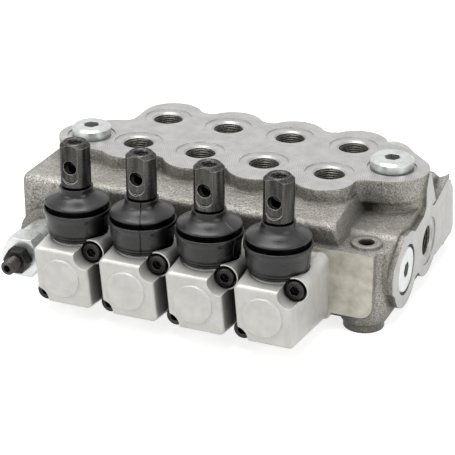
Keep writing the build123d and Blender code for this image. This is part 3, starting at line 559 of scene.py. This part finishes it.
# %% Boot profile
boot_seat = 43.7
sleeve = [(14.4, 0.1), (15.1, 0.05), (15.5, 0.6), (15.6, 1.1), (15.2, 1.6), (15.9, 2.2), (16.0, 2.7),
          (15.6, 3.2), (16.2, 3.9), (16.6, 5.5), (16.9, 8.5), (17.2, 11.5), (17.7, 13.2)]
rim = [(18.0, 14.2), (18.0, 15.0), (17.85, 15.5), (17.4, 15.78), (16.9, 15.6), (15.6, 14.9)]
recess = [(14.3, 14.7), (14.05, 15.4), (14.05, 17.9), (14.4, 18.5)]
bell = [(16.2, 18.55), (16.9, 18.7), (17.1, 19.1), (16.9, 19.6), (15.9, 20.3), (14.0, 21.2), (12.2, 22.0)]
neck = [(10.6, 22.9), (9.5, 23.9), (9.0, 24.9), (8.9, 26.0), (8.95, 27.1), (8.7, 27.45), (8.2, 27.45)]
inside = [(6.85, 27.4), (6.85, 25.0), (7.6, 22.8), (9.4, 21.0), (12.0, 19.3), (13.2, 18.2), (13.3, 17.0),
          (13.3, 15.2), (14.0, 13.4), (14.35, 11.5), (14.35, 0.3)]
outer_profile = smooth_profile(sleeve + rim + recess + bell + neck)
profile = np.vstack([outer_profile, smooth_profile(inside)])
print("boot profile points:", len(profile))

# %% [markdown]
# The upper box screw's head reaches under the sleeve's foot, and the real rubber rides up
# over it. Points inside that round head are lifted to its surface. The mould line is a fine
# groove, at an angle that differs from boot to boot, as it does in the photograph.

# %% Boots
screw_offset, screw_z, screw_front_y, screw_clear = 14.0, 39.9, -96.3, 5.35
seam_depth, seam_width = 0.45, math.radians(1.3)
seam_angles = (-150, -68, -20, -5)


def boot(number, x, seam_angle):
    """Point = axis + radius * (cos a, sin a) at each height; near the seam angle the radius sinks
    by the seam's depth times a bell curve of its width."""
    steps_round, seam_reach, seam_steps = 150, 4, 17
    seam = math.radians(seam_angle)
    even = np.linspace(0, 2 * math.pi, steps_round, endpoint=False)
    close = seam + np.radians(np.linspace(-seam_reach, seam_reach, seam_steps))
    angle = np.unique(np.round(np.concatenate([even, close]) % (2 * math.pi), 4))
    off = np.angle(np.exp(1j * (angle - seam)))
    groove = -seam_depth * np.exp(-(off / seam_width) ** 2)
    outside = (np.arange(len(profile)) < len(outer_profile))[:, None]
    radius = profile[:, :1] + groove[None, :] * outside
    wide = radius * np.cos(angle)
    deep = lever_y + radius * np.sin(angle)
    high = boot_seat + np.repeat(profile[:, 1:], len(angle), axis=1)
    beside = wide - screw_offset
    head_top = screw_z + np.sqrt(np.maximum(screw_clear ** 2 - beside ** 2, 0))
    under = (np.abs(beside) < screw_clear) & (deep < screw_front_y) & (high < head_top)
    high = np.where(under, head_top, high)
    piece = grid_mesh(f"rubber_boot_{number}", np.stack([x + wide, deep, high], axis=-1))
    piece.data.materials.append(rubber)
    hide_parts(f"boot_{number}")
    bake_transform(piece)
    return piece


boots = [boot(k, x, seam) for k, (x, seam) in enumerate(zip(sections, seam_angles), 1)]
print("boots:", [len(b.data.polygons) for b in boots])

# %% [markdown]
# ## Screw threads in the holes
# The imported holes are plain. A thread is a helix whose crests stand in from the wall, so a
# sleeve inside each hole shows it: angle by height, with a radius that follows a triangle
# wave of the height less a share of the angle.

# %% Tapped sleeves
def basis(direction):
    """Two unit vectors square to a direction and to each other, and the direction."""
    axis = np.array(direction, float)
    side = np.array([0.0, 1.0, 0.0]) if abs(axis[1]) < 0.5 else np.array([0.0, 0.0, 1.0])
    first = np.cross(side, axis)
    return first, np.cross(axis, first), axis


def on_helix(height, angle, lead):
    """Triangle wave from 0 to 1 of height / lead - angle / 2 pi: the ridge of a helix."""
    phase = height / lead - angle / (2 * math.pi)
    return 1 - np.abs(2 * (phase - np.floor(phase)) - 1)


def around(mouth, direction, radius, height, angle):
    """Points at a radius and angle round an axis, going down from its mouth."""
    first, second, axis = basis(direction)
    ring = np.cos(angle)[..., None] * first + np.sin(angle)[..., None] * second
    return np.array(mouth, float) + radius[..., None] * ring - height[..., None] * axis


def tapped_sleeve(name, mouth, direction, radius, length, lead, depth, material, body, slot):
    """Radius = wall - depth * helix wave, which fades to the wall over the first and last turn;
    the back of the sleeve lies on the wall. Both stand off it by a hair, so that they don't
    flicker against it."""
    steps_round, steps_per_turn, face_gap, back_gap = 48, 8, 0.02, 0.005
    angle = np.linspace(0, 2 * math.pi, steps_round, endpoint=False)
    height = np.linspace(0, length, int(length / lead * steps_per_turn) + 1)
    angle, height = np.meshgrid(angle, height)
    fade = np.clip(height / lead, 0, 1) * np.clip((length - height) / lead, 0, 1)
    crest = radius - face_gap - depth * on_helix(height, angle, lead) * fade
    face = around(mouth, direction, crest, height, angle)
    back = around(mouth, direction, np.full_like(crest, radius - back_gap), height, angle)
    piece = grid_mesh(name, np.vstack([face, back[-1:], back[:1]]))
    piece.data.materials.append(material)
    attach(piece, body)
    return piece


# G3/8 has 19 threads to the inch, a lead of 1.337 mm and a depth near 0.8 mm. M8 has a lead of
# 1.25 mm, and its thread in the lever starts under a chamfer of 0.5 mm.
pipe_length, pipe_lead, pipe_depth = 13.0, 1.337, 0.8
pipe = (port_radius, pipe_length, pipe_lead, pipe_depth)
below_chamfer = 1.7
m8_radius, m8_lead = 4.0, 1.25
lever_thread_length, lever_thread_depth, lever_chamfer = 8.2, 0.6, 0.5
sleeves = []
for k, x in enumerate(sections, 1):
    for side, y in (("front", front_row_y), ("back", back_row_y)):
        sleeves.append(tapped_sleeve(f"{side}_port_thread_{k}", (x, y, deck_z - below_chamfer), (0, 0, 1),
                                     *pipe, thread_iron, "housing", "cast_iron"))
    sleeves.append(tapped_sleeve(f"lever_thread_{k}", (x, lever_y, lever_top - lever_chamfer), (0, 0, 1),
                                 m8_radius, lever_thread_length, m8_lead, lever_thread_depth,
                                 lever_thread, f"lever_arm_{k}", "blackened_steel"))
for name, x, y, direction in (("pressure", end_face_x, pressure_y, 1), ("tank", -end_face_x, tank_y, -1)):
    sleeves.append(tapped_sleeve(f"{name}_port_thread", (x - direction * below_chamfer, y, spool_z),
                                 (direction, 0, 0), *pipe, thread_iron, "housing", "cast_iron"))
print("sleeves:", len(sleeves), "faces each:", len(sleeves[0].data.polygons))

# %% [markdown]
# ## Set screw of the relief valve
# The set screw stands out of its nut, so its thread and its hexagon socket are seen. It is one
# closed surface: from the middle of the socket's floor, up its six walls, over the rim, down
# the threaded shank and in to the middle of the hidden end.

# %% Set screw
def set_screw():
    """Radius by row and angle. The hexagon is half its width over the cosine of the angle from
    the nearest flat; the shank is its radius less the depth times one minus the helix wave."""
    flats, socket_depth, length, depth = 4.0, 4.0, 30.4, 0.75
    chamfer, end_chamfer, end_gap, tip_y = 0.8, 0.6, 0.5, -108.4
    steps_round, steps_per_turn = 72, 8
    angle = np.linspace(0, 2 * math.pi, steps_round, endpoint=False)
    from_flat = (angle + math.pi / 6) % (math.pi / 3) - math.pi / 6
    hexagon = flats / 2 / np.cos(from_flat)
    shank = np.arange(chamfer, length - end_gap, m8_lead / steps_per_turn)
    turns, heights = np.meshgrid(angle, shank)
    fade = np.clip((heights - chamfer) / m8_lead, 0, 1)
    threaded = m8_radius - depth * (1 - on_helix(heights, turns, m8_lead)) * fade
    flat = np.ones_like(angle)
    radii = np.vstack([0 * flat, hexagon, hexagon, (m8_radius - chamfer) * flat, threaded,
                       (m8_radius - end_chamfer) * flat, 0 * flat])
    rows = np.concatenate([[socket_depth, socket_depth, 0.0, 0.0], shank, [length, length]])
    points = around((relief_x, tip_y, relief_z), (0, -1, 0), radii, rows[:, None] * flat,
                    np.tile(angle, (len(rows), 1)))
    piece = grid_mesh("relief_set_screw", points, close_rows=False)
    piece.data.materials.append(screw_thread)
    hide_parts("relief_screw")
    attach(piece, "housing")
    return piece


screw = set_screw()
print("set screw faces:", len(screw.data.polygons))

# %% [markdown]
# ## Valve springs
# Two springs inside the body shorten when their poppets lift: the relief valve's along Y and
# the check valve's along Z. Each is a wire wound on a helix, so the grid is distance along the
# wire by angle round it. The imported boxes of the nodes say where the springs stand.

# %% Springs
def spring(node_name, along, turns):
    """Point = helix(t) + wire * (cos a * outward + sin a * square to outward and to the wire)."""
    low, high = (np.array(corner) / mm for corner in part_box(node_name))
    direction = np.zeros(3)
    direction[along] = 1.0
    first, second, axis = basis(direction)
    middle = (low + high) / 2
    length = high[along] - low[along]
    outer = (high - low)[(along + 1) % 3] / 2
    wire, steps_per_turn, steps_round = 0.8, 24, 10
    radius = outer - wire
    t = np.linspace(0, 1, turns * steps_per_turn + 1)[:, None]
    a = np.linspace(0, 2 * math.pi, steps_round, endpoint=False)[None, :]
    turn = 2 * math.pi * turns * t
    rise = length - 2 * wire
    outward = np.cos(turn)[..., None] * first + np.sin(turn)[..., None] * second
    forward = -np.sin(turn)[..., None] * first + np.cos(turn)[..., None] * second
    slope = np.hypot(2 * math.pi * turns * radius, rise)
    along_wire = (forward * 2 * math.pi * turns * radius + axis * rise) / slope
    square = np.cross(along_wire, outward)
    centre = middle + outward * radius + (t[..., None] - 0.5) * rise * axis
    points = centre + wire * (np.cos(a)[..., None] * outward + np.sin(a)[..., None] * square)
    caps = [np.repeat(centre[i:i + 1], len(a[0]), axis=1) for i in (0, -1)]
    piece = grid_mesh(f"wound_{node_name}", np.vstack([caps[0], points, caps[1]]), close_rows=False)
    piece.data.materials.append(spring_steel)
    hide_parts(node_name)
    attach(piece, "housing")
    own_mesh(piece)
    return piece


springs = [spring("relief_spring", along=1, turns=6),
           spring("check_spring", along=2, turns=5)]
print("springs:", [len(s.data.polygons) for s in springs])

# %% [markdown]
# ## Floor, light and camera
# The photograph has a white ground with no horizon and soft light from the upper left. A
# pale floor and a pale world do that. Light Path tells which ray asks: the camera, mirrors
# and glass see white, while the light that falls on the object stays plain.

# %% Floor and world
def seen_directly(node):
    """1 for rays from the camera, from a reflection or through glass, else 0."""
    light = node("LightPath")
    kinds = [light.outputs[kind] for kind in ("Is Camera Ray", "Is Glossy Ray", "Is Transmission Ray")]
    return all_of(node, kinds)


def pale_floor():
    """A square in metres at the height of the feet, far larger than the view."""
    mesh = bpy.data.meshes.new("floor")
    half = 6.0
    corners = [(-half, -half, 0), (half, -half, 0), (half, half, 0), (-half, half, 0)]
    mesh.from_pydata(corners, [], [(0, 1, 2, 3)])
    floor = bpy.data.objects.new("floor", mesh)
    bpy.context.scene.collection.objects.link(floor)
    material, node, _ = start_finish("pale_floor")
    glow = node("Math", {"operation": "MULTIPLY"}, _0=seen_directly(node), _1=0.8)
    end_finish(node, Base_Color=linear("#bdbdbb"), Roughness=0.9, Emission_Color=(1, 1, 1, 1),
               Emission_Strength=glow)
    mesh.materials.append(material)


def white_world():
    """White where it is seen directly, and a plain 0.28 of that as light on the object."""
    world = bpy.data.worlds.new("studio")
    bpy.context.scene.world = world
    world.use_nodes = True
    world.node_tree.nodes.clear()
    node = partial(add, world.node_tree)
    strength = node("Mix", FLOAT, Factor=seen_directly(node), A=0.28, B=1.0)
    background = node("Background", Color=(1, 1, 1, 1), Strength=strength)
    node("OutputWorld", Surface=background)


pale_floor()
white_world()
print("floor and world ready")

# %% [markdown]
# The photograph's highlights are wide and soft, which large rectangular lamps give. The key
# stands at the upper left, a fill at the right keeps the right end from going dark, and one
# above lights the deck.

# %% Lamps
def softbox(name, location, target, width, height, power):
    """A rectangular lamp that looks at a target, in metres; power in watts."""
    data = bpy.data.lights.new(name, "AREA")
    data.shape, data.size, data.size_y, data.energy = "RECTANGLE", width, height, power
    lamp = bpy.data.objects.new(name, data)
    lamp.location = location
    lamp.rotation_euler = (Vector(target) - Vector(location)).to_track_quat("-Z", "Y").to_euler()
    bpy.context.scene.collection.objects.link(lamp)


middle_of_valve = (0, 0, 0.03)
softbox("key", (-0.8, -0.9, 0.9), middle_of_valve, width=0.7, height=0.6, power=4.5)
softbox("fill", (1.2, -0.45, 0.6), middle_of_valve, width=0.6, height=0.8, power=4.5)
softbox("top", (-0.1, -0.1, 1.15), middle_of_valve, width=0.9, height=0.8, power=12)
print("lamps ready")

# %% [markdown]
# The camera stands where the photograph was taken from, found by fitting the port centres:
# about 23 degrees to the right of the levers' side, 25 degrees up and 0.97 m away.

# %% Camera
def photo_camera():
    """Lens = focal length in pixels / picture width in pixels * sensor width. Places in mm."""
    picture_width, focal_pixels, sensor = 455, 1724.8, 36.0
    data = bpy.data.cameras.new("camera")
    data.sensor_width, data.lens = sensor, focal_pixels / picture_width * sensor
    data.clip_start, data.clip_end = 0.05, 20
    camera = bpy.data.objects.new("camera", data)
    camera.location = Vector((339.6, -824.5, 432.3)) * mm
    target = Vector((-2.94, -13.48, 23.71)) * mm
    camera.rotation_euler = (target - camera.location).to_track_quat("-Z", "Y").to_euler()
    bpy.context.scene.collection.objects.link(camera)
    bpy.context.scene.camera = camera
    return camera


camera = photo_camera()
bpy.context.scene.view_settings.view_transform = "Standard"
print("lens:", round(camera.data.lens, 1))
